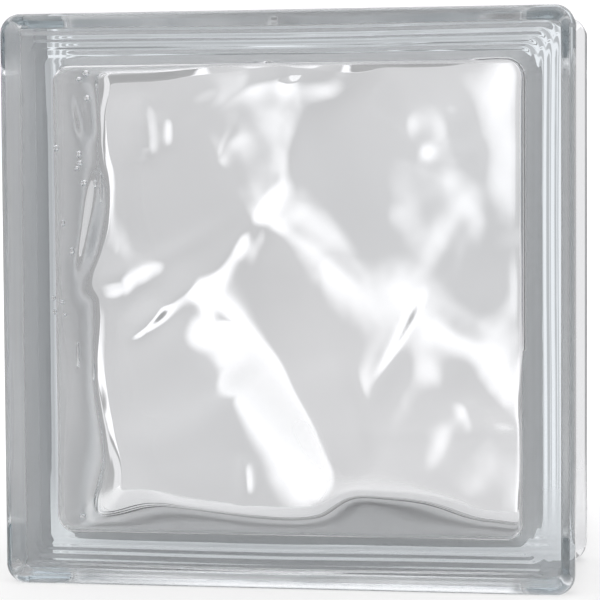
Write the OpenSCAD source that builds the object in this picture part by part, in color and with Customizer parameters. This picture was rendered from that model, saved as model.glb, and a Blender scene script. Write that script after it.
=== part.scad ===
// Hollow glass block. Two pressed glass trays are fused edge to edge into one piece
// around a sealed cavity. The faces are smooth outside and carry a flowing wave relief
// inside, and a mortar groove runs round the edge between two lips.
// The block stands on edge: X is its width, Y its thickness and Z its height, with the
// front face towards -Y and the origin under the middle of the block.

/* [Block] */
// Width of the block across its face
block_w = 190; // [150:1:300]
// Height of the block as it stands
block_h = 190; // [150:1:300]
// Thickness of the block from face to face
block_d = 80; // [70:1:110]
// Radius of the block's four corners, seen from the front
corner_r = 6.5; // [6:0.25:12]

/* [Lips] */
// Width of each lip's edge, from the face to the start of the slope
lip_w = 10; // [7:0.5:14]
// Rounding between the face and the lip's edge
face_edge_r = 3; // [1:0.25:4]
// Rounding between the lip's edge and the slope down to the groove
shoulder_r = 2; // [1:0.25:3]

/* [Mortar groove] */
// Depth of the groove below the lips
groove_depth = 4.8; // [3:0.1:5.5]
// Run of the slope from the lip's edge to the groove floor
groove_slope = 5; // [3:0.5:8]

/* [Weld seam] */
// Height of the bead that the fused trays leave round the middle
seam_rise = 0.5; // [0.2:0.1:1]
// Width of the bead
seam_w = 5; // [3:0.5:8]

/* [Cavity] */
// Glass between the groove floor and the cavity at the seam
wall_t = 7; // [5:0.5:12]
// Lean of each cavity wall from the seam to the face
wall_draft = 6; // [0:0.25:8]
// Thickness of the face where the relief is lowest
face_t = 6; // [5:0.5:10]
// Radius of the cavity's four corners at the seam
cavity_corner_r = 11; // [10:0.5:18]
// Fillet between a cavity wall and a face
cavity_fillet_r = 4; // [2:0.5:8]

/* [Wave relief] */
// Height of a full wave crest above the thinnest glass
wave_rise = 5.2; // [0:0.1:6]
// Half the breadth of a full wave crest's steep side
wave_w = 11; // [8:0.5:20]
// Steps of the relief across a face
wave_steps = 40; // [16:4:48]

/* [Hidden] */

// Each crest has its middle across and up, its heading in degrees, half its length, its
// bend, its breadth, its height and its lean. Places, lengths and bends are shares of the
// cavity's half width, and breadth and height are shares of a full crest. The lean says how
// many times broader the gentle side, on the right of the heading, is than the steep side.
front_crests = [
  [-0.04, 0.73, -91, 0.53, -0.34, 0.66, 0.62, 5.9],
  [-0.41, 0.00, -122, 0.37, 0.30, 1.42, 0.41, 6.0],
  [0.47, 0.20, 143, 0.76, -0.12, 1.90, 1.00, 4.2],
  [-0.21, -0.44, -44, 0.51, -0.16, 1.50, 0.93, 2.1],
  [0.97, 0.56, 96, 0.41, -0.14, 1.88, 1.01, 3.1],
  [1.06, -0.16, 118, 0.40, -0.57, 0.85, 0.62, 1.4],
  [-0.70, 0.02, -77, 0.83, 0.12, 0.70, 0.23, 6.0],
  [-0.73, -0.77, -42, 0.82, 0.60, 1.72, 0.56, 1.0],
  [0.39, -1.01, 97, 0.23, 0.58, 1.47, 0.73, 2.0],
  [0.76, 0.53, 108, 0.40, 0.41, 1.37, 1.00, 2.3],
  [0.67, 0.26, -86, 0.37, -0.36, 1.89, 0.83, 1.4],
  [0.42, -0.25, -123, 0.20, 0.29, 0.69, 0.31, 3.0],
  [0.63, -0.27, 61, 0.73, -0.28, 1.57, 0.47, 1.2],
  [0.74, -0.49, 134, 0.07, 0.16, 1.17, 0.11, 1.3],
  [0.74, -0.42, 135, 0.19, -0.23, 0.54, 0.23, 1.0],
  [1.00, -0.66, -10, 0.45, 0.20, 1.39, 0.54, 1.1],
  [0.85, 0.00, -35, 0.13, -0.29, 0.82, 0.39, 1.0],
  [-0.71, 0.11, 7, 0.17, 0.03, 0.84, 0.45, 1.0],
  [-0.19, 0.63, 23, 0.11, -0.29, 1.08, 0.28, 3.7],
];
back_crests = [
  [-0.09, 0.85, -72, 0.95, 0.14, 1.50, 0.94, 1.6],
  [-0.56, 0.33, -47, 0.56, 0.34, 1.90, 0.81, 6.0],
  [-0.55, -0.62, 27, 0.36, 0.60, 1.58, 0.98, 2.1],
  [0.95, 0.03, 86, 0.76, -0.03, 1.90, 0.73, 1.6],
  [0.79, 0.42, -2, 0.66, 0.50, 1.72, 0.96, 3.1],
  [-0.08, 1.06, -47, 0.33, 0.06, 1.33, 1.01, 2.8],
];

$fn = 64;
half_w = block_w / 2;
half_h = block_h / 2;
half_d = block_d / 2;

// Half sizes of the cavity at the seam, and its half depth to the thinnest glass
cavity_w = half_w - groove_depth - wall_t;
cavity_h = half_h - groove_depth - wall_t;
cavity_d = half_d - face_t;

// Turn from the lip's edge to the slope, and the length its rounding takes on each side
shoulder_turn = atan2(groove_depth, groove_slope);
shoulder_run = shoulder_r * tan(shoulder_turn / 2);

// Rounding of the weld bead, from its width and height
seam_r = (pow(seam_w / 2, 2) + pow(seam_rise, 2)) / (2 * seam_rise);

// Smallest corner radius of the cavity, where its fillet meets a face
least_corner_r = 2;

// Angles of the fillet rings, from the face to the wall
fillet_turns = [30, 60, 90];

// Points along each side of the cavity's rings, and round a whole ring
side_steps = wave_steps;
ring_steps = 4 * side_steps;

// Height of one crest above the thinnest glass, at a place on the face
function crest_height(crest, x, y) =
  let (
    dx = x - crest[0] * cavity_w,
    dy = y - crest[1] * cavity_h,
    along = (dx * cos(crest[2]) + dy * sin(crest[2])) / cavity_w,
    offset = (dy * cos(crest[2]) - dx * sin(crest[2])) / cavity_w,
    across = (offset - crest[4] * along * along) * cavity_w / (crest[5] * wave_w),
    slant = across < 0 ? across / crest[7] : across
  )
  wave_rise * crest[6] * exp(-pow(slant, 2)) * exp(-pow(along / crest[3], 4));

// Height of all the crests of one face, which flow into one another without adding up
function relief(crests, x, y) =
  let (heights = [for (crest = crests) pow(crest_height(crest, x, y), 2)])
  sqrt(heights * [for (height = heights) 1]);

// A place in a square from -1 to 1, brought to a rounded rectangle with the given half sizes
function rounded(place, half_x, half_y, radius) =
  let (
    ring = max(abs(place[0]), abs(place[1])),
    flat_x = (half_x - radius) * ring,
    flat_y = (half_y - radius) * ring,
    over_x = max(half_x * abs(place[0]) - flat_x, 0),
    over_y = max(half_y * abs(place[1]) - flat_y, 0),
    shrink = over_x * over_y > 0 ? max(over_x, over_y) / norm([over_x, over_y]) : 1
  )
  [
    sign(place[0]) * (min(half_x * abs(place[0]), flat_x) + shrink * over_x),
    sign(place[1]) * (min(half_y * abs(place[1]), flat_y) + shrink * over_y),
  ];

// Inset of the cavity wall at a distance from the seam
function wall_inset(depth) = wall_draft * depth / cavity_d;

// A place on a ring of the cavity that lies a given inset inside the cavity's widest outline
function inset_place(place, inset) =
  rounded(place, cavity_w - inset, cavity_h - inset, max(cavity_corner_r - inset, least_corner_r));

fillet_inset = wall_inset(cavity_d - cavity_fillet_r) + cavity_fillet_r;

// One point of a face of the cavity, with its distance from the seam
function face_point(crests, place) =
  let (spot = inset_place(place, fillet_inset))
  [spot[0], spot[1], cavity_d - relief(crests, spot[0], spot[1])];

// One point of the fillet between a face and its wall, where the relief dies out
function fillet_point(crests, place, turn) =
  let (
    inset = fillet_inset - cavity_fillet_r * sin(turn),
    spot = inset_place(place, inset),
    drop = cavity_fillet_r * (1 - cos(turn))
  )
  [spot[0], spot[1], cavity_d - drop - relief(crests, spot[0], spot[1]) * cos(turn)];

// One point of a wall near the seam
function seam_point(place, depth, inset) =
  let (spot = inset_place(place, inset))
  [spot[0], spot[1], depth];

// Step of a grid or a ring side as a share from -1 to 1, and a step round a ring as a place
function share(step) = 2 * step / side_steps - 1;
function ring_place(step) =
  step < side_steps ? [share(step), -1]
  : step < 2 * side_steps ? [1, share(step - side_steps)]
  : step < 3 * side_steps ? [share(3 * side_steps - step), 1]
  : [-1, share(4 * side_steps - step)];

// The same step round a ring as a point of the face's grid
function ring_in_grid(step) =
  let (place = ring_place(step))
  round((place[0] + 1) * side_steps / 2) * (side_steps + 1) + round((place[1] + 1) * side_steps / 2);

function face_points(crests) =
  [for (i = [0:side_steps]) for (j = [0:side_steps]) face_point(crests, [share(i), share(j)])];
function fillet_ring(crests, turn) =
  [for (step = [0:ring_steps - 1]) fillet_point(crests, ring_place(step), turn)];
function seam_ring(depth, inset) =
  [for (step = [0:ring_steps - 1]) seam_point(ring_place(step), depth, inset)];
function turned_back(points) = [for (p = points) [p[0], p[1], -p[2]]];

// Quads of a face's grid and of the band between two rings
function grid_quads() = [
  for (i = [0:side_steps - 1]) for (j = [0:side_steps - 1])
    let (low = i * (side_steps + 1) + j, high = low + side_steps + 1)
    [low, low + 1, high + 1, high]
];
function band_quads(front, back) = [
  for (step = [0:ring_steps - 1])
    let (next = (step + 1) % ring_steps)
    [front[step], front[next], back[next], back[step]]
];
function triangles(quads) =
  [for (q = quads) each [[q[0], q[1], q[2]], [q[0], q[2], q[3]]]];
function turned_quads(quads, start) =
  [for (q = quads) [start + q[3], start + q[2], start + q[1], start + q[0]]];

// The sealed space inside: two waved faces, their fillets, and walls with a bead at the seam
module cavity() {
  front_rings = [for (turn = fillet_turns) fillet_ring(front_crests, turn)];
  back_rings = [for (turn = fillet_turns) turned_back(fillet_ring(back_crests, turn))];
  seam_rings = [
    seam_ring(seam_w / 2, wall_inset(seam_w / 2)),
    seam_ring(0, seam_rise),
    seam_ring(-seam_w / 2, wall_inset(seam_w / 2)),
  ];
  turns = len(fillet_turns);
  rings = concat(front_rings, seam_rings, [for (k = [1:turns]) back_rings[turns - k]]);
  front = face_points(front_crests);
  back = turned_back(face_points(back_crests));
  back_start = len(front);
  rings_start = back_start + len(back);
  rim = [for (step = [0:ring_steps - 1]) ring_in_grid(step)];
  ring_ids = [
    for (k = [0:len(rings) - 1]) [for (step = [0:ring_steps - 1]) rings_start + k * ring_steps + step]
  ];
  loops = concat([rim], ring_ids, [[for (id = rim) back_start + id]]);
  bands = [for (k = [0:len(loops) - 2]) each band_quads(loops[k], loops[k + 1])];
  polyhedron(
    concat(front, back, [for (ring = rings) each ring]),
    triangles(concat(grid_quads(), turned_quads(grid_quads(), back_start), bands))
  );
}

// Section of one lip and its slope, drawn outwards from X = 0 to the lip's edge
module lip_section(reach) {
  slope_start = half_d - lip_w;
  slope_end = slope_start - groove_slope;
  translate([0, slope_start]) square([reach - face_edge_r, lip_w]);
  translate([0, slope_start + shoulder_run]) square([reach, lip_w - shoulder_run - face_edge_r]);
  translate([reach - face_edge_r, half_d - face_edge_r]) circle(face_edge_r);
  translate([reach - shoulder_r, slope_start + shoulder_run]) circle(shoulder_r);
  polygon([
    [0, slope_start + shoulder_run],
    [reach, slope_start + shoulder_run],
    [reach - shoulder_run * sin(shoulder_turn), slope_start - shoulder_run * cos(shoulder_turn)],
    [reach - groove_depth, slope_end],
    [0, slope_end],
  ]);
}

// Section of the block's edge: two lips, the groove floor between them and the weld bead
module edge_section(reach) {
  floor_reach = reach - groove_depth;
  floor_w = block_d - 2 * (lip_w + groove_slope);
  lip_section(reach);
  mirror([0, 1]) lip_section(reach);
  translate([0, -floor_w / 2]) square([floor_reach, floor_w]);
  intersection() {
    translate([floor_reach + seam_rise - seam_r, 0]) circle(seam_r);
    translate([0, -half_d]) square([reach, block_d]);
  }
}

// Section right across the block, between two opposite edges
module block_section(reach) {
  edge_section(reach);
  mirror([1, 0]) edge_section(reach);
}

// The block's outside: the section run along both pairs of sides, and turned at the corners
module body() {
  side_w = block_w - 2 * corner_r;
  side_h = block_h - 2 * corner_r;
  translate([-side_w / 2, 0, 0]) rotate([90, 0, 90]) linear_extrude(side_w) block_section(half_h);
  translate([0, side_h / 2, 0]) rotate([90, 0, 0]) linear_extrude(side_h) block_section(half_w);
  translate([side_w / 2, side_h / 2, 0]) rotate(0) rotate_extrude(angle = 90) edge_section(corner_r);
  translate([-side_w / 2, side_h / 2, 0]) rotate(90) rotate_extrude(angle = 90) edge_section(corner_r);
  translate([-side_w / 2, -side_h / 2, 0]) rotate(180) rotate_extrude(angle = 90) edge_section(corner_r);
  translate([side_w / 2, -side_h / 2, 0]) rotate(270) rotate_extrude(angle = 90) edge_section(corner_r);
}

// The whole block, stood up on its lower edge
module glass_block() {
  color([0.80, 0.85, 0.86, 0.5])
    translate([0, 0, half_h])
      rotate([90, 0, 0])
        difference() {
          body();
          cavity();
        }
}

glass_block();
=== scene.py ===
"""A hollow glass block with a wave relief inside its faces, in a plain bright studio."""

import logging
import math
from dataclasses import dataclass, field
from enum import Enum
from typing import Any, NamedTuple, Union

import bpy
import numpy as np
from mathutils import Matrix, Vector


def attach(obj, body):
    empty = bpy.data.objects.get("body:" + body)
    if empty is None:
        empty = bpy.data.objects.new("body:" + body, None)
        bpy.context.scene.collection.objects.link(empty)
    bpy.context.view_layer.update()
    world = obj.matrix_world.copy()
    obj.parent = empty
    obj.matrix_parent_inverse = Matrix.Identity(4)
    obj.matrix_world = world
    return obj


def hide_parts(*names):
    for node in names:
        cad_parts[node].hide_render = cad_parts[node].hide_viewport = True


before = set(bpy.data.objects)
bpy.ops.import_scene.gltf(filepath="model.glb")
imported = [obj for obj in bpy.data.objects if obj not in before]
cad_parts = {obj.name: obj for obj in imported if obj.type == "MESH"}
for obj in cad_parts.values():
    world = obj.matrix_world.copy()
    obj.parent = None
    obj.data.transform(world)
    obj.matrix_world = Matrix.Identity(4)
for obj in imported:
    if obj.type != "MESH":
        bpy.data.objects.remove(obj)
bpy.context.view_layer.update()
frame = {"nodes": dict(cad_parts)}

LOG = logging.getLogger("glass_block")
MM = 0.001
TINY = 1e-12
GLASS_BOUNCES = 32
MIRROR_BOUNCES = 16

Value = Union["Socket", float]


class Shell(NamedTuple):
    """One closed surface: its points and its four-sided faces."""

    points: np.ndarray
    quads: np.ndarray


class Facing(Enum):
    """Which way a closed surface looks."""

    OUT_OF_GLASS = 1
    INTO_CAVITY = -1


def turned(shell: Shell, facing: Facing) -> Shell:
    """Turn a closed surface's faces outwards, or inwards for a hollow.

    The signed volume is the sum over the faces of a corner's dot product with the cross product of
    the two diagonals, so its sign says which way the faces look.

    Args:
        shell: the surface.
        facing: the wanted way.

    Returns:
        The same surface with its faces turned.
    """
    corners = shell.points[shell.quads]
    across = np.cross(corners[:, 2] - corners[:, 0], corners[:, 3] - corners[:, 1])
    volume = float(np.sum(corners[:, 0] * across))
    if volume * facing.value < 0:
        return Shell(shell.points, shell.quads[:, ::-1])
    return shell


def joined(shells: list[Shell]) -> Shell:
    """Put several surfaces into one list of points and faces.

    Args:
        shells: the surfaces.

    Returns:
        All of them as one surface.
    """
    starts = np.cumsum([0] + [len(shell.points) for shell in shells[:-1]])
    points = np.concatenate([shell.points for shell in shells])
    quads = np.concatenate([shell.quads + start for shell, start in zip(shells, starts)])
    return Shell(points, quads)


def rounded_rectangle(
    u: np.ndarray, v: np.ndarray, half_x: Any, half_z: Any, radius: Any
) -> tuple[np.ndarray, np.ndarray]:
    """Bring places in a square from -1 to 1 to a rectangle with round corners.

    Each place lies on the square ring max(|u|, |v|). Its ring becomes a rectangle whose corner
    squares are pushed onto quarter circles along the line from the corner's centre.

    Args:
        u: places across, from -1 to 1.
        v: places up, from -1 to 1.
        half_x: half the width.
        half_z: half the height.
        radius: corner radius of the outermost ring.

    Returns:
        The places across and up, in metres.
    """
    ring = np.maximum(np.abs(u), np.abs(v))
    flat_x, flat_z = (half_x - radius) * ring, (half_z - radius) * ring
    over_x = np.maximum(half_x * np.abs(u) - flat_x, 0.0)
    over_z = np.maximum(half_z * np.abs(v) - flat_z, 0.0)
    corner = np.maximum(np.hypot(over_x, over_z), TINY)
    shrink = np.where(over_x * over_z > 0, np.maximum(over_x, over_z) / corner, 1.0)
    x = np.sign(u) * (np.minimum(half_x * np.abs(u), flat_x) + shrink * over_x)
    z = np.sign(v) * (np.minimum(half_z * np.abs(v), flat_z) + shrink * over_z)
    return x, z


def side_shares(middle: int, corner: int, corner_share: float) -> np.ndarray:
    """Steps along a side from -1 to 1, closer together in the two corners.

    Args:
        middle: steps along the straight middle.
        corner: steps in each corner.
        corner_share: the corner's part of the half side.

    Returns:
        The steps' places in rising order.
    """
    bend = np.linspace(0.0, 1.0, corner + 1)
    end = 1.0 - corner_share * (1.0 - bend)
    straight = np.linspace(-end[0], end[0], middle + 1)
    return np.concatenate([-end[::-1][:-1], straight, end[1:]])


def supported(shares: np.ndarray, gap: float) -> np.ndarray:
    """Steps along a side with one more step close to each end, which keeps the edge there crisp."""
    return np.concatenate([[-1.0, gap - 1.0], shares[1:-1], [1.0 - gap, 1.0]])


@dataclass(frozen=True)
class RingGrid:
    """A square grid of places and the ring round its rim, shared by a face and its edge."""

    shares: np.ndarray

    @property
    def steps(self) -> int:
        """Steps along one side."""
        return len(self.shares) - 1

    def places(self) -> tuple[np.ndarray, np.ndarray]:
        """All the grid's places, across and up, as flat arrays."""
        u, v = np.meshgrid(self.shares, self.shares, indexing="ij")
        return u.ravel(), v.ravel()

    def rim(self) -> np.ndarray:
        """Numbers of the grid's points round its rim, anticlockwise from the lower left.

        Returns:
            The numbers, one for each step round the rim.
        """
        n = self.steps
        run = np.arange(n)
        i = np.concatenate([run, np.full(n, n), n - run, np.zeros(n, int)])
        j = np.concatenate([np.zeros(n, int), run, np.full(n, n), n - run])
        return i * (n + 1) + j

    def rim_places(self) -> tuple[np.ndarray, np.ndarray]:
        """The rim's places.

        Returns:
            The places across and up, one for each step round the rim.
        """
        u, v = self.places()
        rim = self.rim()
        return u[rim], v[rim]

    def quads(self) -> np.ndarray:
        """The grid's faces.

        Returns:
            One row for each face: the numbers of its four corners.
        """
        n = self.steps
        low = (np.arange(n)[:, None] * (n + 1) + np.arange(n)[None, :]).ravel()
        return np.stack([low, low + 1, low + n + 2, low + n + 1], axis=1)

    def capped(self, front: np.ndarray, rings: np.ndarray, back: np.ndarray) -> Shell:
        """Close a surface from a front grid, rings going back, and a back grid.

        Args:
            front: points of the front face's grid.
            rings: points of the rings between the faces, one row for each ring.
            back: points of the back face's grid.

        Returns:
            The closed surface.
        """
        count, round_steps = rings.shape[0], rings.shape[1]
        back_start = len(front)
        ring_start = back_start + len(back)
        ring_ids = ring_start + np.arange(count * round_steps).reshape(count, round_steps)
        loops = np.concatenate([self.rim()[None], ring_ids, back_start + self.rim()[None]])
        here, there = loops[:-1], loops[1:]
        bands = np.stack(
            [here, np.roll(here, -1, axis=1), np.roll(there, -1, axis=1), there], axis=2
        ).reshape(-1, 4)
        back_quads = back_start + self.quads()[:, ::-1]
        points = np.concatenate([front, back, rings.reshape(-1, 3)])
        return Shell(points, np.concatenate([self.quads(), back_quads, bands]))


class Crest(NamedTuple):
    """One wave crest of the relief.

    Its middle, half length and bend are shares of the cavity's half width, and its heading is in
    degrees. Its breadth and height are shares of a full crest, and its lean says how many times
    broader the gentle side on the right of the heading is than the steep side on the left.
    """

    across: float
    up: float
    heading: float
    reach: float
    bend: float
    breadth: float
    height: float
    lean: float

    def share(self, x: np.ndarray, z: np.ndarray, full_breadth: float) -> np.ndarray:
        """Height of the crest as a share of a full crest's height.

        It falls off across its bent centre line as exp(-a^2), more slowly on its gentle side, and
        along it as exp(-b^4).

        Args:
            x: places across, as shares of the cavity's half width.
            z: places up, as shares of the cavity's half height.
            full_breadth: breadth of a full crest's steep side, as a share of the half width.

        Returns:
            The shares.
        """
        turn = math.radians(self.heading)
        dx, dz = x - self.across, z - self.up
        along = dx * math.cos(turn) + dz * math.sin(turn)
        offset = dz * math.cos(turn) - dx * math.sin(turn)
        across = (offset - self.bend * along**2) / (self.breadth * full_breadth)
        across = np.where(across < 0, across / self.lean, across)
        return self.height * np.exp(-(across**2)) * np.exp(-((along / self.reach) ** 4))


# Broad crests of the front face's inside
FRONT_CRESTS = (
    Crest(-0.04, 0.73, -91, 0.53, -0.34, 0.66, 0.62, 5.9),
    Crest(-0.41, 0.00, -122, 0.37, 0.30, 1.42, 0.41, 6.0),
    Crest(0.47, 0.20, 143, 0.76, -0.12, 1.90, 1.00, 4.2),
    Crest(-0.21, -0.44, -44, 0.51, -0.16, 1.50, 0.93, 2.1),
    Crest(0.97, 0.56, 96, 0.41, -0.14, 1.88, 1.01, 3.1),
    Crest(1.06, -0.16, 118, 0.40, -0.57, 0.85, 0.62, 1.4),
    Crest(-0.70, 0.02, -77, 0.83, 0.12, 0.70, 0.23, 6.0),
    Crest(-0.73, -0.77, -42, 0.82, 0.60, 1.72, 0.56, 1.0),
    Crest(0.39, -1.01, 97, 0.23, 0.58, 1.47, 0.73, 2.0),
    Crest(0.76, 0.53, 108, 0.40, 0.41, 1.37, 1.00, 2.3),
    Crest(0.67, 0.26, -86, 0.37, -0.36, 1.89, 0.83, 1.4),
    Crest(0.42, -0.25, -123, 0.20, 0.29, 0.69, 0.31, 3.0),
    Crest(0.63, -0.27, 61, 0.73, -0.28, 1.57, 0.47, 1.2),
    Crest(0.74, -0.49, 134, 0.07, 0.16, 1.17, 0.11, 1.3),
    Crest(0.74, -0.42, 135, 0.19, -0.23, 0.54, 0.23, 1.0),
    Crest(1.00, -0.66, -10, 0.45, 0.20, 1.39, 0.54, 1.1),
    Crest(0.85, 0.00, -35, 0.13, -0.29, 0.82, 0.39, 1.0),
    Crest(-0.71, 0.11, 7, 0.17, 0.03, 0.84, 0.45, 1.0),
    Crest(-0.19, 0.63, 23, 0.11, -0.29, 1.08, 0.28, 3.7),
)
# Narrow ridges that flow into the broad crests
FRONT_RIDGES = (
    Crest(-0.102, 1.053, -128, 0.159, -0.60, 0.20, 0.248, 5.5),
    Crest(-0.783, 0.102, -175, 0.179, -0.11, 0.49, 0.404, 6.0),
    Crest(0.260, -0.437, -73, 0.220, -0.20, 0.43, 0.344, 3.2),
    Crest(-0.469, -0.005, -142, 0.223, 0.51, 0.49, 0.570, 2.4),
    Crest(0.638, 0.230, -113, 0.147, -0.38, 0.49, 0.300, 1.3),
    Crest(0.654, 0.573, -2, 0.118, 0.03, 0.43, 0.519, 1.0),
    Crest(-0.788, -0.008, 21, 0.172, -0.21, 0.49, 0.352, 3.1),
    Crest(-0.428, 0.028, -143, 0.107, 0.55, 0.23, 0.287, 3.0),
    Crest(-0.107, 0.272, -144, 0.258, 0.17, 0.49, 0.161, 1.1),
    Crest(-0.053, 0.669, -93, 0.209, -0.01, 0.49, 0.413, 1.3),
)
# Fine strokes that lie on the crests and ridges
FRONT_STROKES = (
    Crest(-0.825, 0.740, 100, 0.090, 0.00, 0.17, 0.115, 2.0),
    Crest(-0.795, 0.300, 79, 0.180, 0.10, 0.17, 0.125, 2.0),
    Crest(-0.172, 0.287, -125, 0.226, 0.00, 0.36, 0.136, 3.9),
    Crest(-0.549, 0.142, -155, 0.364, -0.14, 0.31, 0.088, 1.0),
    Crest(0.471, -0.161, 60, 0.171, 0.22, 0.18, 0.096, 5.0),
    Crest(0.336, -0.373, 78, 0.207, -0.68, 0.47, 0.085, 1.0),
    Crest(0.596, -0.249, 133, 0.108, -0.63, 0.58, 0.096, 1.0),
    Crest(0.742, -0.453, 108, 0.067, 0.18, 0.36, 0.057, 1.0),
    Crest(0.652, -0.583, 62, 0.164, 0.41, 0.63, 0.106, 3.4),
    Crest(0.807, -0.515, 1, 0.553, 0.01, 0.18, 0.018, 1.0),
    Crest(0.797, -0.186, -11, 0.198, 0.74, 0.41, 0.142, 2.3),
    Crest(0.406, 0.398, 163, 0.258, -0.74, 0.80, 0.168, 2.9),
    Crest(-0.229, 0.610, 66, 0.073, -0.09, 0.19, 0.026, 1.0),
    Crest(-0.493, 0.668, -91, 0.065, 0.04, 0.30, 0.115, 3.5),
    Crest(-0.179, -0.713, 95, 0.075, 0.05, 0.21, 0.098, 1.2),
    Crest(0.710, -0.706, -33, 0.140, 0.02, 0.80, 0.064, 1.0),
    Crest(-0.127, 0.892, -174, 0.302, 0.63, 0.52, 0.126, 1.4),
    Crest(0.599, 0.683, 4, 0.112, -0.14, 0.56, 0.150, 1.2),
    Crest(-0.169, 0.605, -81, 0.262, 0.80, 0.80, 0.218, 5.0),
    Crest(0.061, 0.888, 10, 0.510, -0.64, 0.50, 0.099, 3.1),
    Crest(-0.292, -0.109, -48, 0.166, -0.22, 0.63, 0.208, 3.8),
    Crest(0.132, 0.179, -39, 0.305, -0.24, 0.47, 0.072, 5.0),
    Crest(0.382, 0.042, -13, 0.265, -0.01, 0.59, 0.092, 5.0),
    Crest(0.826, 0.571, -97, 0.600, 0.49, 0.65, 0.023, 1.0),
    Crest(0.703, 0.404, -56, 0.093, 0.17, 0.47, 0.017, 5.0),
    Crest(0.695, 0.302, 53, 0.109, -0.25, 0.61, 0.030, 1.0),
    Crest(-0.578, 0.675, -85, 0.124, -0.09, 0.38, 0.250, 2.0),
    Crest(0.709, 0.176, -88, 0.174, -0.03, 0.20, 0.004, 1.1),
    Crest(-0.569, -0.090, -139, 0.097, -0.04, 0.21, 0.200, 2.4),
    Crest(-0.608, 0.079, -156, 0.126, -0.11, 0.45, 0.179, 2.4),
    Crest(0.745, 0.862, -73, 0.263, -0.45, 0.76, 0.049, 1.0),
    Crest(0.869, 0.393, -125, 0.115, -0.01, 0.75, 0.018, 1.0),
    Crest(0.769, -0.094, -34, 0.192, 0.17, 0.80, 0.053, 3.7),
    Crest(0.748, -0.497, -180, 0.195, 0.16, 0.43, 0.048, 2.0),
    Crest(-0.270, -0.725, 4, 0.201, 0.06, 0.42, 0.045, 1.5),
)
# Broad crests of the back face's inside
BACK_CRESTS = (
    Crest(-0.09, 0.85, -72, 0.95, 0.14, 1.50, 0.94, 1.6),
    Crest(-0.56, 0.33, -47, 0.56, 0.34, 1.90, 0.81, 6.0),
    Crest(-0.55, -0.62, 27, 0.36, 0.60, 1.58, 0.98, 2.1),
    Crest(0.95, 0.03, 86, 0.76, -0.03, 1.90, 0.73, 1.6),
    Crest(0.79, 0.42, -2, 0.66, 0.50, 1.72, 0.96, 3.1),
    Crest(-0.08, 1.06, -47, 0.33, 0.06, 1.33, 1.01, 2.8),
)


@dataclass(frozen=True)
class WaveRelief:
    """The relief pressed into the inside of one face: wave crests and fine strokes on them."""

    crests: tuple[Crest, ...]
    strokes: tuple[Crest, ...]
    half_w: float
    half_h: float
    rise: float = 5.2 * MM
    breadth: float = 11 * MM

    def height(self, x: np.ndarray, z: np.ndarray) -> np.ndarray:
        """Height of the relief above the thinnest glass.

        The crests are joined by the root of their summed squares, and the strokes are added.

        Args:
            x: places across from the face's middle.
            z: places up from the face's middle.

        Returns:
            The heights in metres.
        """
        u, v, breadth = x / self.half_w, z / self.half_h, self.breadth / self.half_w
        squares = sum(crest.share(u, v, breadth) ** 2 for crest in self.crests)
        extra = sum(stroke.share(u, v, breadth) for stroke in self.strokes)
        return self.rise * (np.sqrt(squares) + extra)


@dataclass(frozen=True)
class EdgeSection:
    """Section of the block's edge: a rounded lip, a slope and half of the mortar groove."""

    half_depth: float = 40 * MM
    lip_w: float = 10 * MM
    face_edge_r: float = 3 * MM
    shoulder_r: float = 2 * MM
    groove_depth: float = 4.8 * MM
    groove_slope: float = 5 * MM
    seam_rise: float = 0.5 * MM
    seam_w: float = 5 * MM
    support: float = 0.25 * MM
    edge_steps: int = 12
    shoulder_steps: int = 7
    bead_steps: int = 6

    def half_profile(self) -> np.ndarray:
        """Inset and depth of the edge from the face to the middle of the groove.

        A quarter circle rounds the face into the lip, an arc turns the lip into a straight slope,
        the slope runs to the groove floor, and the weld bead is a shallow arc across the middle.
        Extra points beside each arc keep the flat strips flat.

        Returns:
            One row for each point: inset from the lip's edge, and depth from the block's middle.
        """
        slope_start = self.half_depth - self.lip_w
        turn = math.atan2(self.groove_depth, self.groove_slope)
        run = self.shoulder_r * math.tan(turn / 2)
        land_start = self.half_depth - self.face_edge_r
        a = np.linspace(0, math.pi / 2, self.edge_steps + 1)[1:]
        edge_inset = self.face_edge_r * (1 - np.sin(a))
        edge_depth = self.half_depth - self.face_edge_r * (1 - np.cos(a))
        edge = np.stack([edge_inset, edge_depth], 1)
        land_end = slope_start + run
        land = np.array([[0, land_start - self.support], [0, land_end + self.support]])
        b = np.linspace(0, turn, self.shoulder_steps + 1)
        shoulder = np.stack(
            [self.shoulder_r * (1 - np.cos(b)), land_end - self.shoulder_r * np.sin(b)], 1
        )
        way = np.array([math.sin(turn), -math.cos(turn)])
        slope_end = np.array([self.groove_depth, slope_start - self.groove_slope])
        slope = np.stack([shoulder[-1] + self.support * way, slope_end - self.support * way])
        foot = np.stack([slope_end, slope_end - [0, self.support]])
        bead_r = ((self.seam_w / 2) ** 2 + self.seam_rise**2) / (2 * self.seam_rise)
        d = np.linspace(self.seam_w / 2, 0, self.bead_steps + 1)
        bead_rise = np.sqrt(bead_r**2 - d**2) - (bead_r - self.seam_rise)
        bead = np.stack([self.groove_depth - bead_rise, d], 1)
        before = np.array([[self.groove_depth, self.seam_w / 2 + self.support]])
        return np.concatenate([edge, land, shoulder, slope, foot, before, bead])

    def profile(self) -> np.ndarray:
        """The whole edge from the front face to the back face."""
        half = self.half_profile()
        return np.concatenate([half, half[-2::-1] * [1, -1]])


class Sway(NamedTuple):
    """One slow wave round the block: how often it comes in a turn, its phase and its size."""

    count: int
    phase: float
    size: float

    @staticmethod
    def total(sways: tuple["Sway", ...], turn: np.ndarray) -> np.ndarray:
        """The sum of several sways at a turn round the block's middle."""
        return sum(sway.size * np.sin(sway.count * turn + sway.phase) for sway in sways)


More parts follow.
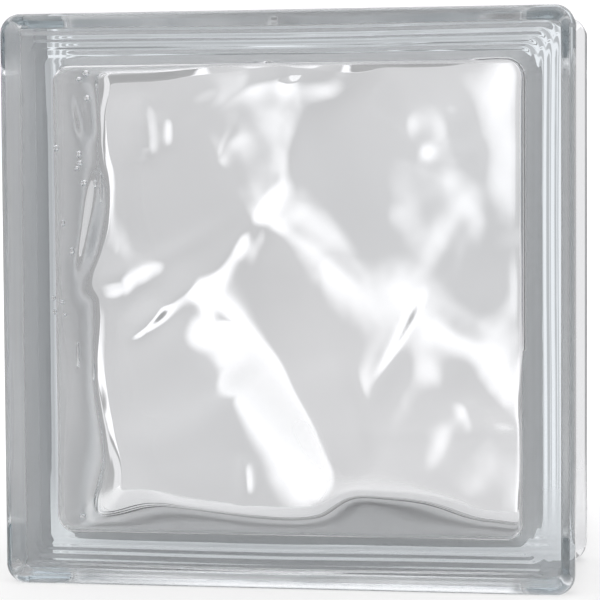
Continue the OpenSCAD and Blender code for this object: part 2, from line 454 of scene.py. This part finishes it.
@dataclass(frozen=True)
class RimRipple:
    """Faint waves that the mould ring leaves round the outside of each face, beside its edge."""

    start: float = 0.855
    length: float = 0.027
    rise: float = 0.22 * MM
    calm_side: float = 0.22
    corner_share: float = 0.1
    drift: tuple[Sway, ...] = (Sway(5, 0.4, 0.7), Sway(13, 0.0, 0.4))

    def depth(self, u: np.ndarray, v: np.ndarray) -> np.ndarray:
        """How far the face lies under its flat, as waves along the distance from the middle.

        Each wave is one minus the cosine of the distance, with a phase that drifts round the face.
        They grow from nothing at the start, end at the rim, and are weaker at the left and right.

        Args:
            u: places across, from -1 to 1.
            v: places up, from -1 to 1.

        Returns:
            The depths in metres.
        """
        ring = np.maximum(np.abs(u), np.abs(v))
        turn = np.arctan2(v, u)
        share = np.clip((ring - self.start) / (1 - self.start), 0, 1)
        window = np.sin(math.pi * share) ** 0.5 * (share < 1)
        phase = Sway.total(self.drift, turn)
        level = np.clip((np.abs(v) - np.abs(u)) / self.corner_share + 0.5, 0, 1)
        calm = self.calm_side + (1 - self.calm_side) * level
        wave = 1 - np.cos(2 * math.pi * (ring - self.start) / self.length + phase)
        return 0.5 * self.rise * window * calm * wave


@dataclass(frozen=True)
class CavityWall:
    """The cavity's wall: a leaning surface with mould ripples and the uneven bead of the weld."""

    draft: float = 6 * MM
    reach: float = 34 * MM
    bead_rise: float = 0.5 * MM
    bead_half: float = 2.5 * MM
    wander: float = 0.5 * MM
    ripple: float = 0.10 * MM
    ripple_length: float = 4.1 * MM
    swell_length: float = 9.7 * MM
    bead_path: tuple[Sway, ...] = (Sway(9, 0.6, 1.0), Sway(23, 2.0, 0.6))
    bead_swell: tuple[Sway, ...] = (Sway(13, 1.0, 0.3), Sway(37, 0.0, 0.25))
    ripple_drift: tuple[Sway, ...] = (Sway(5, 0.0, 2.0), Sway(11, 1.3, 1.0))

    def inset(self, turn: np.ndarray, depth: np.ndarray) -> np.ndarray:
        """How far the wall stands in from the cavity's widest outline.

        The wall leans in as its distance from the seam. The bead is one minus the square of the
        distance from its wandering middle, and the ripples are sines of the depth whose phase
        drifts along the wall.

        Args:
            turn: place along the wall as an angle round the block's middle.
            depth: place across the wall, from the seam towards the front.

        Returns:
            The insets in metres.
        """
        lean = self.draft * np.abs(depth) / self.reach
        middle = self.wander * Sway.total(self.bead_path, turn)
        rise = self.bead_rise * (1 + Sway.total(self.bead_swell, turn))
        bead = rise * np.maximum(1 - ((depth - middle) / self.bead_half) ** 2, 0)
        phase = Sway.total(self.ripple_drift, turn)
        ripple = self.ripple * np.sin(depth / self.ripple_length + phase)
        ripple = ripple * np.sin(depth / self.swell_length + 0.5 * phase)
        return lean + bead + ripple * np.cos(0.5 * math.pi * depth / self.reach) ** 2


class Seed(NamedTuple):
    """One small bubble in a face: its place across and up, its half width and half height."""

    across: float
    up: float
    half_w: float
    half_h: float


SEEDS = (
    Seed(-65.6 * MM, 170.2 * MM, 1.17 * MM, 0.96 * MM),
    Seed(-68.0 * MM, 168.3 * MM, 0.91 * MM, 0.72 * MM),
    Seed(-65.3 * MM, 162.0 * MM, 1.04 * MM, 0.96 * MM),
    Seed(-76.1 * MM, 145.6 * MM, 1.04 * MM, 1.08 * MM),
    Seed(-68.3 * MM, 143.6 * MM, 0.91 * MM, 1.08 * MM),
    Seed(-68.0 * MM, 140.6 * MM, 0.91 * MM, 0.96 * MM),
    Seed(-69.0 * MM, 138.9 * MM, 0.78 * MM, 0.72 * MM),
    Seed(-66.7 * MM, 134.0 * MM, 1.17 * MM, 0.96 * MM),
    Seed(-62.9 * MM, 133.6 * MM, 0.65 * MM, 1.44 * MM),
    Seed(-60.9 * MM, 132.3 * MM, 0.59 * MM, 5.28 * MM),
    Seed(-74.0 * MM, 120.8 * MM, 0.65 * MM, 1.20 * MM),
    Seed(-71.0 * MM, 111.5 * MM, 0.78 * MM, 1.32 * MM),
    Seed(-77.4 * MM, 95.8 * MM, 0.78 * MM, 0.84 * MM),
    Seed(-74.7 * MM, 94.5 * MM, 0.91 * MM, 0.72 * MM),
    Seed(-77.1 * MM, 91.2 * MM, 0.78 * MM, 0.96 * MM),
    Seed(-73.7 * MM, 90.2 * MM, 0.65 * MM, 0.60 * MM),
    Seed(-69.4 * MM, 76.9 * MM, 0.59 * MM, 4.32 * MM),
    Seed(-64.0 * MM, 71.2 * MM, 0.52 * MM, 3.12 * MM),
    Seed(-68.3 * MM, 23.0 * MM, 1.04 * MM, 0.72 * MM),
)


@dataclass(frozen=True)
class SeedGroup:
    """The bubbles that the pressing left in the front face, most of them beside the left wall."""

    seeds: tuple[Seed, ...] = SEEDS
    depth: float = 37 * MM
    half_depth: float = 0.7 * MM
    steps: int = 5

    def ball(self) -> Shell:
        """A ball with a radius of one: a cube's grid of places pushed out onto a sphere.

        Returns:
            The closed surface, facing inwards, as across, up and depth.
        """
        grid = RingGrid(np.linspace(-1.0, 1.0, self.steps + 1))
        u, v = grid.places()
        levels = grid.shares[-2:0:-1, None]
        rim_u, rim_v = (np.broadcast_to(a, (len(levels), len(a))) for a in grid.rim_places())
        sides = (rim_u, rim_v, np.broadcast_to(levels, rim_u.shape))
        near, far = (u, v, np.ones_like(u)), (u, v, -np.ones_like(u))
        cube = [np.stack(p, axis=-1) for p in (near, sides, far)]
        parts = [p / np.linalg.norm(p, axis=-1, keepdims=True) for p in cube]
        return turned(grid.capped(*parts), Facing.INTO_CAVITY)

    def build(self) -> Shell:
        """All the bubbles: each a ball stretched to its size and moved to its place.

        Returns:
            The closed surfaces, facing into the bubbles.
        """
        ball = self.ball()
        rows = np.array(self.seeds)
        size = np.stack([rows[:, 2], rows[:, 3], np.full(len(rows), self.half_depth)], axis=1)
        place = np.stack([rows[:, 0], np.full(len(rows), -self.depth), rows[:, 1]], axis=1)
        points = place[:, None] + (size[:, None] * ball.points[None])[..., [0, 2, 1]]
        starts = np.arange(len(rows))[:, None, None] * len(ball.points)
        # Up and depth change places, which mirrors the ball, so its faces are turned back
        return Shell(points.reshape(-1, 3), (ball.quads[:, ::-1] + starts).reshape(-1, 4))


@dataclass(frozen=True)
class ClearGlass:
    """Pressed soda-lime glass: clear, with a faint cool tint in its depth."""

    name: str = "clear_pressed_glass"
    ior: float = 1.52
    tint: tuple[float, float, float] = (0.53, 0.60, 0.635)
    density: float = 10.0
    wall_rough: float = 0.40
    groove_rough: float = 0.6
    middle: float = 95 * MM
    groove_zone: tuple[float, float] = (84.5 * MM, 88 * MM)
    wall_zone: tuple[float, float] = (76.4 * MM, 77.2 * MM)
    face_zone: tuple[float, float] = (-35 * MM, -34.2 * MM)
    lip_zone: tuple[float, float] = (24 * MM, 26.5 * MM)
    ripple_scale: float = 55.0
    ripple_dull: float = 0.012
    ripple_bump: float = 0.12
    ripple_height: float = 0.4 * MM
    grain_scale: float = 900.0
    grain_dull: float = 0.010

    def dullness(self, tree: "Shader", place: "Socket") -> "Socket":
        """Roughness by place: bright faces and lips, dull cavity walls and a matt mortar groove.

        The groove and the walls are told apart by the distance from the block's middle line, and
        the lips and faces by the depth.

        Args:
            tree: the material's tree.
            place: object coordinates.

        Returns:
            The roughness.
        """
        x, y, z = tree.axes(place)
        out = abs(x).larger(abs(z - self.middle))
        groove = out.rising(*self.groove_zone)
        inner = 1.0 - abs(y).rising(*self.lip_zone)
        wall = out.rising(*self.wall_zone) * y.rising(*self.face_zone)
        wall = wall * (1.0 - y.rising(*self.lip_zone))
        return groove * inner * self.groove_rough + (1.0 - groove) * wall * self.wall_rough

    def material(self) -> bpy.types.Material:
        """Make the material: a smooth glass with slight mould ripple and an absorbing body.

        Returns:
            The material.
        """
        tree = Shader(self.name)
        place = tree.output("ShaderNodeTexCoord", "Object")
        ripple = tree.noise(place, self.ripple_scale, 2.0)
        grain = tree.noise(place, self.grain_scale, 3.0)
        rough = ripple * self.ripple_dull + grain * self.grain_dull + self.dullness(tree, place)
        bump = tree.output(
            "ShaderNodeBump",
            "Normal",
            {},
            {"Height": ripple, "Strength": self.ripple_bump, "Distance": self.ripple_height},
        )
        surface = tree.output(
            "ShaderNodeBsdfPrincipled",
            "BSDF",
            {},
            {
                "Base Color": (1.0, 1.0, 1.0, 1.0),
                "Roughness": rough,
                "IOR": self.ior,
                "Transmission Weight": 1.0,
                "Normal": bump,
            },
        )
        absorbing = {"Color": (*self.tint, 1.0), "Density": self.density}
        body = tree.output("ShaderNodeVolumeAbsorption", "Volume", {}, absorbing)
        tree.finish(surface, body)
        return tree.material


class Socket:
    """A shader socket that takes part in arithmetic."""

    def __init__(self, tree: "Shader", socket: bpy.types.NodeSocket) -> None:
        """Keep the socket and the tree it belongs to."""
        self.tree = tree
        self.socket = socket

    def math(self, operation: str, first: Value, second: Value = 0.0) -> "Socket":
        """Add a Math node.

        Args:
            operation: the Math node's operation.
            first: its first value.
            second: its second value.

        Returns:
            The node's result.
        """
        return self.tree.output(
            "ShaderNodeMath", "Value", {"operation": operation}, {0: first, 1: second}
        )

    def __add__(self, other: Value) -> "Socket":
        """Sum."""
        return self.math("ADD", self, other)

    __radd__ = __add__

    def __mul__(self, other: Value) -> "Socket":
        """Product."""
        return self.math("MULTIPLY", self, other)

    __rmul__ = __mul__

    def __sub__(self, other: Value) -> "Socket":
        """Difference."""
        return self.math("SUBTRACT", self, other)

    def __rsub__(self, other: Value) -> "Socket":
        """Difference from a number."""
        return self.math("SUBTRACT", other, self)

    def __truediv__(self, other: Value) -> "Socket":
        """Quotient."""
        return self.math("DIVIDE", self, other)

    def __abs__(self) -> "Socket":
        """Size without sign."""
        return self.math("ABSOLUTE", self)

    def larger(self, other: Value) -> "Socket":
        """The larger of two values."""
        return self.math("MAXIMUM", self, other)

    def rising(self, low: float, high: float) -> "Socket":
        """A smooth step from 0 at low to 1 at high."""
        return self.tree.output(
            "ShaderNodeMapRange",
            "Result",
            {"interpolation_type": "SMOOTHSTEP"},
            {"Value": self, "From Min": low, "From Max": high},
        )


class Shader:
    """A material's or the world's node tree, and the one way nodes are added to it."""

    def __init__(self, name: str, world: bool = False) -> None:
        """Make an empty tree for a material, or for the world.

        Args:
            name: the material's or the world's name.
            world: whether the tree is the world's.
        """
        self.material = bpy.data.worlds.new(name) if world else bpy.data.materials.new(name)
        self.material.use_nodes = True
        self.nodes = self.material.node_tree.nodes
        self.links = self.material.node_tree.links
        self.nodes.clear()
        self.out = self.nodes.new("ShaderNodeOutputWorld" if world else "ShaderNodeOutputMaterial")

    def node(self, kind: str, settings: dict[str, Any], inputs: dict[Any, Any]) -> bpy.types.Node:
        """Add a node.

        Args:
            kind: the node's type.
            settings: its own settings, set first.
            inputs: values or links of its sockets, by name or number.

        Returns:
            The node.
        """
        node = self.nodes.new(kind)
        for name, value in settings.items():
            setattr(node, name, value)
        for name, value in inputs.items():
            if isinstance(value, Socket):
                self.links.new(value.socket, node.inputs[name])
            else:
                node.inputs[name].default_value = value
        return node

    def output(
        self,
        kind: str,
        name: str,
        settings: dict[str, Any] | None = None,
        inputs: dict[Any, Any] | None = None,
    ) -> Socket:
        """Add a node and take one of its outputs.

        Args:
            kind: the node's type.
            name: the output's name.
            settings: the node's own settings.
            inputs: values or links of its sockets.

        Returns:
            The output.
        """
        return Socket(self, self.node(kind, settings or {}, inputs or {}).outputs[name])

    def noise(self, place: Socket, scale: float, detail: float) -> Socket:
        """Add a noise by place."""
        return self.output(
            "ShaderNodeTexNoise", "Fac", {}, {"Vector": place, "Scale": scale, "Detail": detail}
        )

    def axes(self, place: Socket) -> list[Socket]:
        """Split a place or direction into its three values."""
        parts = self.node("ShaderNodeSeparateXYZ", {}, {0: place})
        return [Socket(self, output) for output in parts.outputs]

    def finish(self, surface: Socket, volume: Socket | None = None) -> None:
        """Link the tree's output.

        Args:
            surface: what the surface shows.
            volume: what fills the body, if anything.
        """
        self.links.new(surface.socket, self.out.inputs["Surface"])
        if volume is not None:
            self.links.new(volume.socket, self.out.inputs["Volume"])


@dataclass
class GlassBlock:
    """The block: one piece of glass round a sealed cavity."""

    width: float = 190 * MM
    height: float = 190 * MM
    corner_r: float = 6.5 * MM
    wall_t: float = 7 * MM
    face_t: float = 6 * MM
    cavity_corner_r: float = 11 * MM
    least_corner_r: float = 2 * MM
    cavity_fillet_r: float = 4 * MM
    front_fillet: float = 6.0
    back_fillet: float = 1.1
    fillet_turns: tuple[float, ...] = (2, 8, 20, 35, 50, 65, 80, 88, 90)
    wall_steps: int = 7
    wall_spread: float = 1.3
    outside_steps: tuple[int, int] = (6, 34)
    outside_corner: float = 0.15
    cavity_steps: tuple[int, int] = (128, 10)
    cavity_corner: float = 0.13
    cavity_support: float = 0.003
    edge: EdgeSection = field(default_factory=EdgeSection)
    ripple: RimRipple = field(default_factory=RimRipple)
    wall: CavityWall = field(default_factory=CavityWall)
    seeds: SeedGroup = field(default_factory=SeedGroup)
    glass: ClearGlass = field(default_factory=ClearGlass)

    def outside(self) -> Shell:
        """The outside: two flat faces and the edge section carried round a rounded square.

        Each ring of the section is the block's outline moved in by the section's inset.

        Returns:
            The closed surface, facing outwards.
        """
        grid = RingGrid(side_shares(*self.outside_steps, self.outside_corner))
        u, v = grid.places()
        x, z = self.inset_outline(u, v, self.edge.face_edge_r)
        depth = self.edge.half_depth - self.ripple.depth(u, v)
        front, back = self.placed(x, z, depth), self.placed(x, z, -depth)
        profile = self.edge.profile()[:-1]
        u, v = grid.rim_places()
        x, z = self.inset_outline(u[None], v[None], profile[:, :1])
        rings = self.placed(x, z, np.broadcast_to(profile[:, 1:], x.shape))
        return turned(grid.capped(front, rings, back), Facing.OUT_OF_GLASS)

    def inset_outline(
        self, u: np.ndarray, v: np.ndarray, inset: Any
    ) -> tuple[np.ndarray, np.ndarray]:
        """The block's outline moved in by an inset, round the same corner centres."""
        return rounded_rectangle(
            u, v, self.width / 2 - inset, self.height / 2 - inset, self.corner_r - inset
        )

    def placed(self, x: np.ndarray, z: np.ndarray, depth: np.ndarray) -> np.ndarray:
        """Stand places up: across, depth towards the front as -Y, and height above the floor."""
        return np.stack([x, -depth, z + self.height / 2], axis=-1)

    def cavity_ring(
        self, u: np.ndarray, v: np.ndarray, inset: Any
    ) -> tuple[np.ndarray, np.ndarray]:
        """A ring of the cavity, moved in from its widest outline at the seam.

        Args:
            u: places across, from -1 to 1.
            v: places up, from -1 to 1.
            inset: how far the ring is moved in.

        Returns:
            The places across and up, in metres.
        """
        wall = self.edge.groove_depth + self.wall_t
        half_w, half_h = self.width / 2 - wall, self.height / 2 - wall
        radius = np.maximum(self.cavity_corner_r - inset, self.least_corner_r)
        return rounded_rectangle(u, v, half_w - inset, half_h - inset, radius)

    def relief(self, crests: tuple[Crest, ...], strokes: tuple[Crest, ...] = ()) -> WaveRelief:
        """The relief of one face, laid over the cavity's width and height."""
        wall = self.edge.groove_depth + self.wall_t
        return WaveRelief(crests, strokes, self.width / 2 - wall, self.height / 2 - wall)

    def cavity_half(
        self, grid: RingGrid, relief: WaveRelief, side: int
    ) -> tuple[np.ndarray, np.ndarray]:
        """One half of the cavity, from its waved face to the seam.

        The face is the thinnest glass less the relief. A fillet turns it into the wall while the
        relief dies out: the share of its breadth that is gone and the share of its height that is
        left, each raised to one power, add up to one. The wall leans out to the seam.

        Args:
            grid: the face's grid.
            relief: the face's relief.
            side: 1 for the front half, -1 for the back half.

        Returns:
            The face's points and the rings' points, as across, up and depth towards the front.
        """
        deep = self.edge.half_depth - self.face_t
        fillet = self.cavity_fillet_r
        start = float(self.wall.draft * (deep - fillet) / self.wall.reach + fillet)
        u, v = grid.places()
        x, z = self.cavity_ring(u, v, start)
        face = np.stack([x, z, side * (deep - relief.height(x, z))], axis=-1)
        u, v = (a[None] for a in grid.rim_places())
        turn = np.radians(self.fillet_turns)[:, None]
        power = self.front_fillet if side > 0 else self.back_fillet
        gone, left = np.sin(turn) ** (2 / power), np.cos(turn) ** (2 / power)
        x, z = self.cavity_ring(u, v, start - fillet * gone)
        depth = deep - fillet * (1 - left) - relief.height(x, z) * left
        bend = np.stack([x, z, side * depth], axis=-1)
        shares = np.linspace(1, 0, self.wall_steps + 1)[1:, None]
        far = side * (deep - fillet) * shares**self.wall_spread
        round_turn = np.arctan2(v, u)
        x, z = self.cavity_ring(u, v, self.wall.inset(round_turn, far))
        wall_rings = np.stack([x, z, np.broadcast_to(far, x.shape)], axis=-1)
        return face, np.concatenate([bend, wall_rings])

    def cavity(self) -> Shell:
        """The sealed cavity between the two waved faces.

        Returns:
            The closed surface, facing into the cavity.
        """
        shares = side_shares(*self.cavity_steps, self.cavity_corner)
        grid = RingGrid(supported(shares, self.cavity_support))
        front_relief = self.relief(FRONT_CRESTS + FRONT_RIDGES, FRONT_STROKES)
        front, front_rings = self.cavity_half(grid, front_relief, 1)
        back, back_rings = self.cavity_half(grid, self.relief(BACK_CRESTS), -1)
        rings = np.concatenate([front_rings, back_rings[-2::-1]])
        parts = [self.placed(*np.moveaxis(p, -1, 0)) for p in (front, rings, back)]
        return turned(grid.capped(*parts), Facing.INTO_CAVITY)

    def build(self) -> bpy.types.Object:
        """Make the block's mesh and object, riding on the root body in place of the CAD solid.

        Returns:
            The block.
        """
        shell = joined([self.outside(), self.cavity(), self.seeds.build()])
        mesh = bpy.data.meshes.new("pressed_glass_block")
        mesh.from_pydata(shell.points.tolist(), [], shell.quads.tolist())
        mesh.polygons.foreach_set("use_smooth", np.ones(len(mesh.polygons), bool))
        mesh.update()
        piece = bpy.data.objects.new("pressed_glass_block", mesh)
        bpy.context.scene.collection.objects.link(piece)
        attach(piece, "root")
        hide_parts("glass_block")
        return piece

    def dress(self, piece: bpy.types.Object) -> None:
        """Give the block its glass."""
        piece.data.materials.append(self.glass.material())


@dataclass
class Studio:
    """A pale floor and a soft surround: a grey screen behind the block inside a white frame.

    The screen's edges and the breadths of the white parts are angles in degrees from the middle of
    the view. The levels are strengths, where 1 is white. The paper's end and its strips of painted
    glow are in metres, and the parts overhead, below and behind start at shares of the direction's
    length.
    """

    floor_r: float = 0.9
    floor_rings: int = 39
    floor_sides: int = 96
    view_turn: float = -9.93
    view_tilt: float = -3.12
    left: float = 6.5
    right: float = 6.2
    top: float = 6.8
    bottom: float = 7.4
    card: float = 12.0
    side: float = 0.90
    screen: float = 0.69
    screen_lean: float = 0.006
    frame: float = 1.25
    around: float = 0.40
    behind: float = 0.65
    overhead: float = 1.4
    under: float = 0.85
    # Strength of the painted glow that the paper gets in front of and beside the block
    lift: float = 0.7
    paper: float = 0.90
    paper_grain: float = 0.03
    grain_scale: float = 180.0
    paper_end: tuple[float, float] = (0.10, 0.34)
    # Where the paper's painted glow starts, ahead of the block and to its sides
    painted_light_ahead: tuple[float, float] = (0.015, 0.04)
    painted_light_beside: tuple[float, float] = (0.08, 0.10)
    soft_edge: float = 1.2
    frame_end: tuple[float, float] = (3.2, 5.4)
    card_tilt: tuple[float, float] = (2.0, 6.0)
    side_start: tuple[float, float] = (7.0, 9.5)
    side_end: tuple[float, float] = (17.0, 20.0)
    overhead_start: tuple[float, float] = (0.4, 0.85)
    under_start: tuple[float, float] = (0.1, 0.4)
    behind_start: tuple[float, float] = (0.0, 0.6)
    tint: tuple[float, float, float] = (1.0, 0.992, 1.006)

    def floor(self) -> bpy.types.Object:
        """A round floor on polar rings: radius times the cosine and sine of the turn.

        Returns:
            The floor.
        """
        radius = np.linspace(0.0, 1.0, self.floor_rings + 1)[1:, None] * self.floor_r
        turn = np.linspace(0, 2 * math.pi, self.floor_sides + 1)[None, :-1]
        x, y = radius * np.cos(turn), radius * np.sin(turn)
        rings = np.stack([x, y, np.zeros_like(x)], -1).reshape(-1, 3)
        points = np.concatenate([[[0, 0, 0]], rings])
        ids = 1 + np.arange(x.size).reshape(x.shape)
        inner, outer = ids[:-1], ids[1:]
        corners = [inner, outer, np.roll(outer, -1, 1), np.roll(inner, -1, 1)]
        quads = np.stack(corners, 2).reshape(-1, 4)
        middle = np.stack([np.zeros(x.shape[1], int), ids[0], np.roll(ids[0], -1)], 1)
        mesh = bpy.data.meshes.new("floor")
        mesh.from_pydata(points.tolist(), [], quads.tolist() + middle.tolist())
        mesh.update()
        floor = bpy.data.objects.new("floor", mesh)
        bpy.context.scene.collection.objects.link(floor)
        floor.data.materials.append(self.floor_paper())
        return floor

    def floor_paper(self) -> bpy.types.Material:
        """White paper with a painted glow in front of and beside the block, and no glow under or
        behind it, where the block's shade falls; it fades out so that no edge shows.

        Returns:
            The material.
        """
        tree = Shader("white_paper_with_painted_glow")
        place = tree.output("ShaderNodeTexCoord", "Object")
        x, y, _ = tree.axes(place)
        far = tree.output("ShaderNodeVectorMath", "Value", {"operation": "LENGTH"}, {0: place})
        # Painted light: the zone where the paper glows, in front of and beside the block but not
        # under or behind it, which leaves painted shade there
        beside = (0.0 - y).rising(*self.painted_light_ahead).larger(abs(x).rising(*self.painted_light_beside))
        shade = self.paper + tree.noise(place, self.grain_scale, 3.0) * self.paper_grain
        colour = tree.output(
            "ShaderNodeCombineColor", "Color", {}, {"Red": shade, "Green": shade, "Blue": shade}
        )
        paper = tree.output("ShaderNodeBsdfDiffuse", "BSDF", {}, {"Color": colour})
        clear = tree.output("ShaderNodeBsdfTransparent", "BSDF")
        painted_glow = tree.output("ShaderNodeEmission", "Emission")
        rays = tree.node("ShaderNodeLightPath", {}, {})
        kinds = ("Camera", "Glossy", "Transmission")
        seen, mirrored, through = (Socket(tree, rays.outputs[f"Is {kind} Ray"]) for kind in kinds)
        # Painted glow for camera, mirror and glass rays, only in the painted light zone
        white = seen.larger(mirrored).larger(through) * beside * self.lift
        paper = tree.output("ShaderNodeMixShader", "Shader", {}, {0: white, 1: paper, 2: painted_glow})
        fade = far.rising(*self.paper_end)
        tree.finish(tree.output("ShaderNodeMixShader", "Shader", {}, {0: fade, 1: paper, 2: clear}))
        return tree.material

    def world(self) -> None:
        """The surround by direction: the screen, its white frame, the sides, and above and below.

        The screen grows a little lighter to the lower right. The frame's white ends soon at the
        right and above, later at the lower left, where a card stands, and not at all towards the
        floor.
        """
        tree = Shader("studio", world=True)
        way = tree.output("ShaderNodeTexCoord", "Generated")
        x, y, z = tree.axes(way)
        turn = tree.output("ShaderNodeMath", "Value", {"operation": "ARCTAN2"}, {0: x, 1: y})
        tilt = tree.output("ShaderNodeMath", "Value", {"operation": "ARCSINE"}, {0: z})
        across = (turn - math.radians(self.view_turn)) * math.degrees(1)
        up = (tilt - math.radians(self.view_tilt)) * math.degrees(1)
        right, left = across - self.right, 0.0 - across - self.left
        above, below = up - self.top, 0.0 - up - self.bottom
        beyond = right.larger(left).larger(above.larger(below))
        white = beyond.rising(-self.soft_edge, self.soft_edge)
        card = left - (0.0 - up).rising(*self.card_tilt) * self.card
        leave = right.larger(card).larger(above).rising(*self.frame_end)
        panel = left.rising(*self.side_start) * (1.0 - left.rising(*self.side_end))
        high = z.rising(*self.overhead_start)
        low = (0.0 - z).rising(*self.under_start)
        back = (0.0 - y).rising(*self.behind_start)
        screen = (across - up) * self.screen_lean + self.screen
        level = white * (self.frame - screen) + screen
        around = back * (self.behind - self.around) + self.around
        level = level * (1.0 - leave) + leave * (around + panel * (self.side - self.around))
        level = level * (1.0 - high) + high * self.overhead
        level = level * (1.0 - low) + low * self.under
        light = {"Color": (*self.tint, 1.0), "Strength": level}
        tree.finish(tree.output("ShaderNodeBackground", "Background", {}, light))
        bpy.context.scene.world = tree.material


@dataclass(frozen=True)
class PhotoCamera:
    """A long lens a little to the right of the block and a little above its middle.

    Its turn, lift, aim and roll are in degrees.
    """

    turn: float = 9.86
    lift: float = 3.0
    distance: float = 807.0 * MM
    sensor: float = 36.0
    focal_px: float = 2353.0
    image_px: float = 600.0
    aim_turn: float = 9.93
    aim_tilt: float = -3.12
    roll: float = -0.37
    middle: float = 95 * MM
    nearest: float = 0.01
    farthest: float = 50.0

    @staticmethod
    def way(turn: float, lift: float) -> Vector:
        """The direction from the block's middle at a turn to the right and a lift, in radians."""
        across, ahead = math.sin(turn) * math.cos(lift), -math.cos(turn) * math.cos(lift)
        return Vector((across, ahead, math.sin(lift)))

    def build(self) -> bpy.types.Object:
        """Place the camera and make it the scene's own.

        Returns:
            The camera.
        """
        turn, lift, roll = (math.radians(a) for a in (self.turn, self.lift, self.roll))
        aim_turn, aim_tilt = math.radians(self.aim_turn), math.radians(self.aim_tilt)
        place = self.way(turn, lift) * self.distance + Vector((0, 0, self.middle))
        ahead = -self.way(aim_turn, -aim_tilt)
        level = ahead.cross(Vector((0, 0, 1))).normalized()
        upright = level.cross(ahead)
        right = level * math.cos(roll) + upright * math.sin(roll)
        up = upright * math.cos(roll) - level * math.sin(roll)
        data = bpy.data.cameras.new("camera")
        data.lens = self.focal_px * self.sensor / self.image_px
        data.sensor_width = self.sensor
        data.clip_start, data.clip_end = self.nearest, self.farthest
        camera = bpy.data.objects.new("camera", data)
        columns = Matrix((right, up, -ahead)).transposed().to_4x4()
        camera.matrix_world = Matrix.Translation(place) @ columns
        bpy.context.scene.collection.objects.link(camera)
        bpy.context.scene.camera = camera
        return camera


def set_light_paths() -> None:
    """Let light cross the many glass surfaces of a hollow block."""
    scene = bpy.context.scene
    scene.view_settings.view_transform = "Standard"
    scene.cycles.max_bounces = GLASS_BOUNCES
    scene.cycles.transmission_bounces = GLASS_BOUNCES
    scene.cycles.glossy_bounces = MIRROR_BOUNCES


def main() -> None:
    """Build the camera, the studio and the block."""
    logging.basicConfig(level=logging.INFO, format="%(name)s: %(message)s")
    PhotoCamera().build()
    studio = Studio()
    studio.floor()
    studio.world()
    set_light_paths()
    block = GlassBlock()
    piece = block.build()
    block.dress(piece)
    mesh = piece.data
    LOG.info("%s: %d points, %d faces", piece.name, len(mesh.vertices), len(mesh.polygons))


if __name__ == "__main__":
    main()
